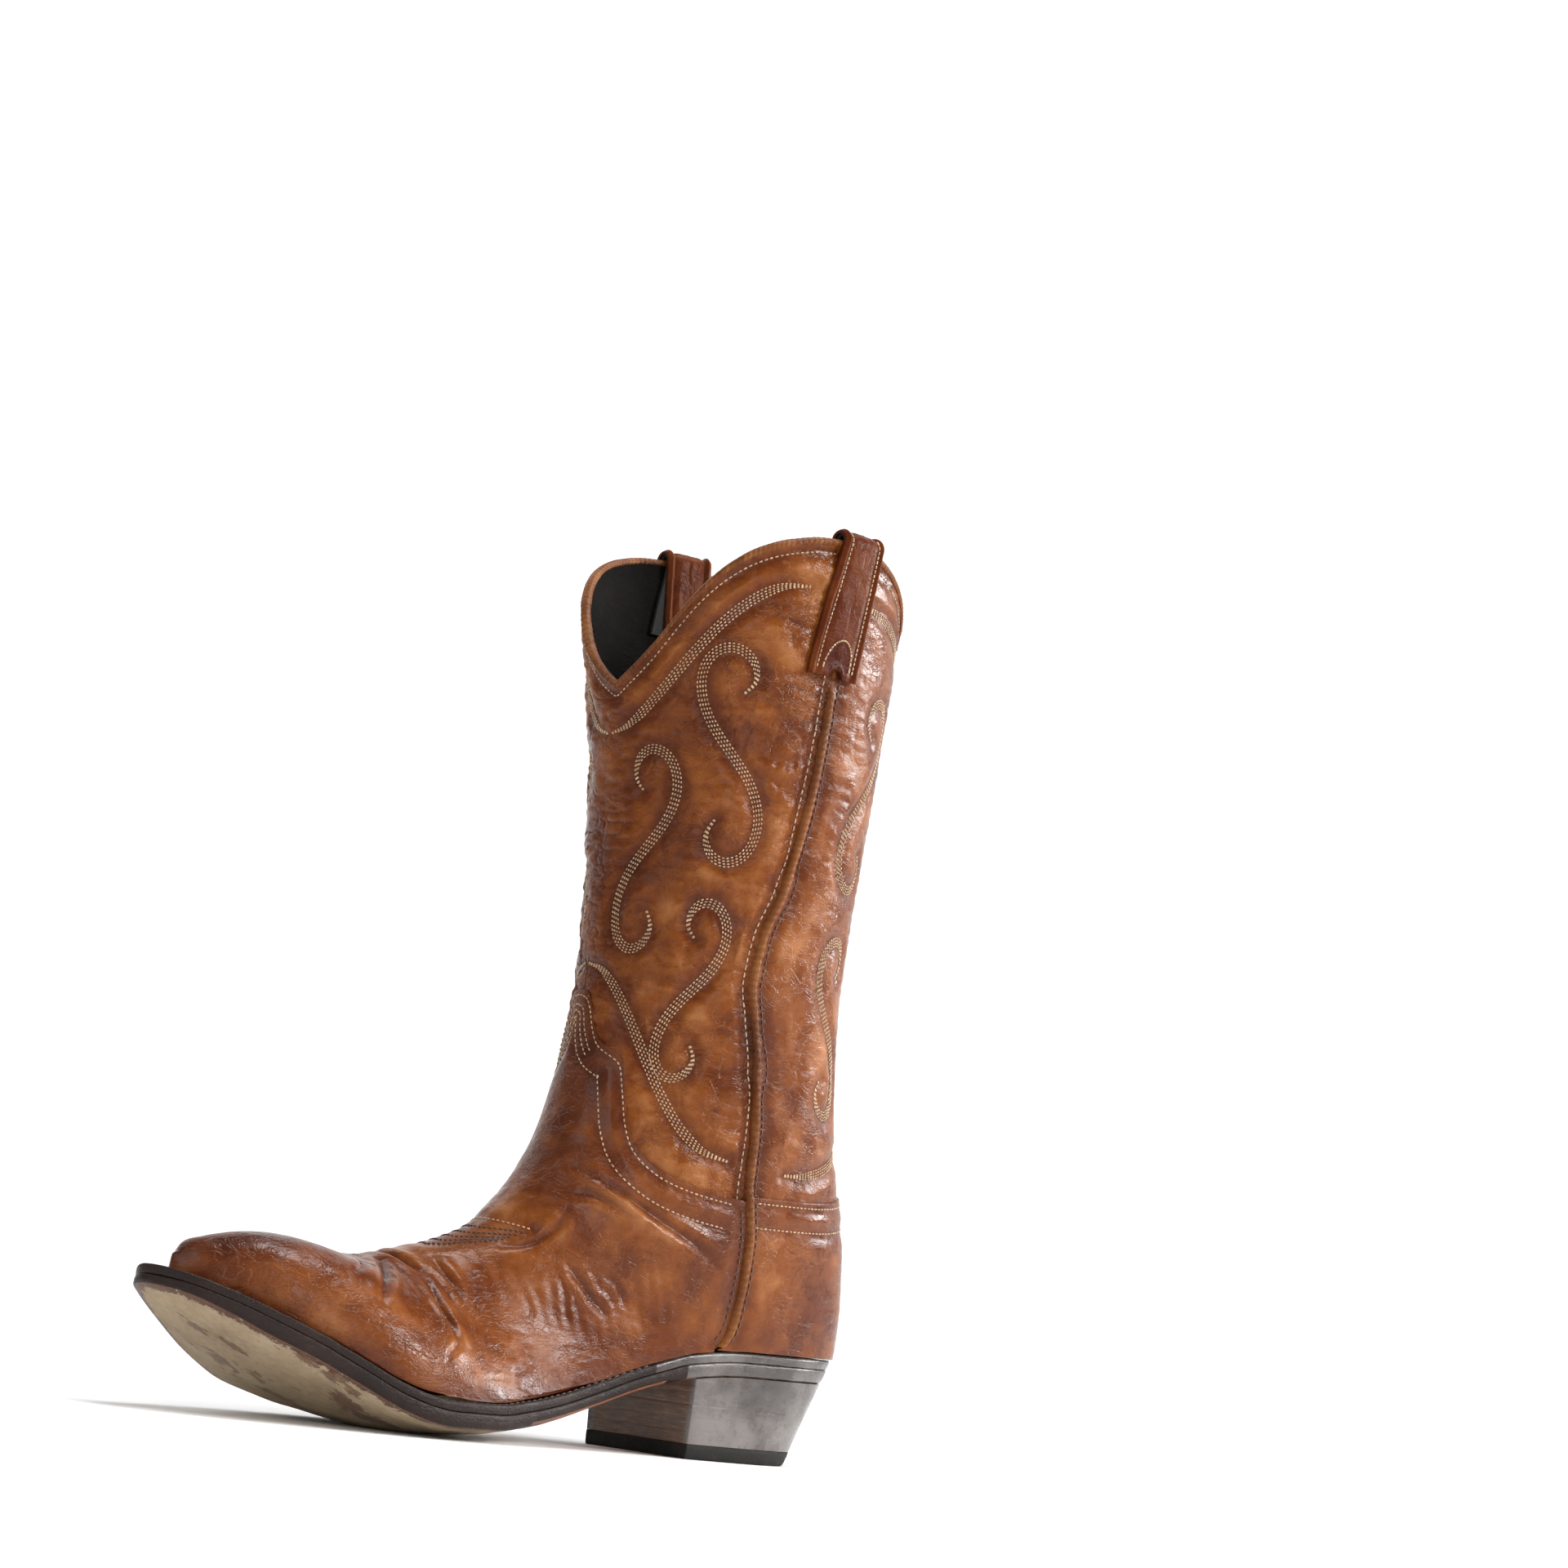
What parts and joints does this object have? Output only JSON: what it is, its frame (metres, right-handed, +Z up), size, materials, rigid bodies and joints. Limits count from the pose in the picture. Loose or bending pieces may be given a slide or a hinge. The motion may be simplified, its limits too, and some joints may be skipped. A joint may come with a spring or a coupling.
{
  "type": "cowboy boot",
  "caption": "Mid-calf western boot for a right foot with a stitched shaft, V-notched top, pull straps, pointed raised toe and stacked underslung heel.",
  "frame": {"origin": "centre of the bounding box's bottom, on the ground under the heel cap and the ball of the sole", "axes": "+Z up from the ground, -Y from the heel to the toe, +X towards the inner (medial) side of the foot"},
  "size_m": [0.1136, 0.2955, 0.3378],
  "materials": {
    "leather": "smooth glossy pull-up leather, cognac",
    "strap_leather": "smooth leather, darker red-brown",
    "lining_leather": "matte dark lining leather",
    "binding": "folded leather edging and piping",
    "edge_leather": "stained and burnished welt edge",
    "sole_leather": "vegetable-tanned sole leather",
    "stacked_leather": "stained and burnished leather layers",
    "rubber": "matte black heel cap",
    "cork": "granular cork filling",
    "webbing": "woven tape",
    "wood": "plain lemonwood pegs",
    "steel": "plain steel"
  },
  "bodies": {
    "foot": {"ankle_lining_back": "lining_leather", "ankle_lining_front": "lining_leather", "ball_lining": "lining_leather", "cork_filler_rear": "cork", "counter": "leather", "counter_stiffener": "lining_leather", "heel_cap": "rubber", "heel_lift_1": "stacked_leather", "heel_lift_2": "stacked_leather", "heel_lift_3": "stacked_leather", "heel_lift_4": "stacked_leather", "heel_lift_5": "stacked_leather", "heel_lining": "lining_leather", "heel_nail_1": "steel", "heel_nail_2": "steel", "heel_nail_3": "steel", "heel_rand": "edge_leather", "heel_sock": "lining_leather", "insole_rear": "sole_leather", "lateral_peg_1": "wood", "lateral_peg_2": "wood", "lateral_peg_3": "wood", "lateral_welt": "edge_leather", "medial_peg_1": "wood", "medial_peg_2": "wood", "medial_peg_3": "wood", "medial_welt": "edge_leather", "outsole_rear": "sole_leather", "shank": "steel", "vamp": "leather", "vamp_lining_rear": "lining_leather"},
    "forefoot": {"cork_filler_front": "cork", "insole_front": "sole_leather", "outsole_front": "sole_leather", "toe_puff": "lining_leather", "toe_welt": "edge_leather", "vamp_lining_front": "lining_leather"},
    "shaft": {"back_binding": "binding", "back_lining": "lining_leather", "back_panel": "leather", "front_binding": "binding", "front_lining": "lining_leather", "front_panel": "leather", "lateral_piping": "binding", "lateral_pull_strap": "strap_leather", "lateral_strap_webbing": "webbing", "medial_piping": "binding", "medial_pull_strap": "strap_leather", "medial_strap_webbing": "webbing"}
  },
  "joints": [
    {"name": "toe_flex", "type": "hinge", "parent": "foot", "child": "forefoot", "pos_m": [0, -0.05231, 0.013], "axis": [-1, 0, 0], "range_deg": [-5, 25], "stiffness_Nm_per_rad": 3, "deforming": ["vamp", "ball_lining"]},
    {"name": "ankle_flex", "type": "hinge", "parent": "foot", "child": "shaft", "pos_m": [0, 0.07269, 0.1], "axis": [1, 0, 0], "range_deg": [-10, 15], "stiffness_Nm_per_rad": 5, "deforming": ["front_panel", "back_panel", "ankle_lining_front", "ankle_lining_back", "medial_piping", "lateral_piping"]}
  ]
}
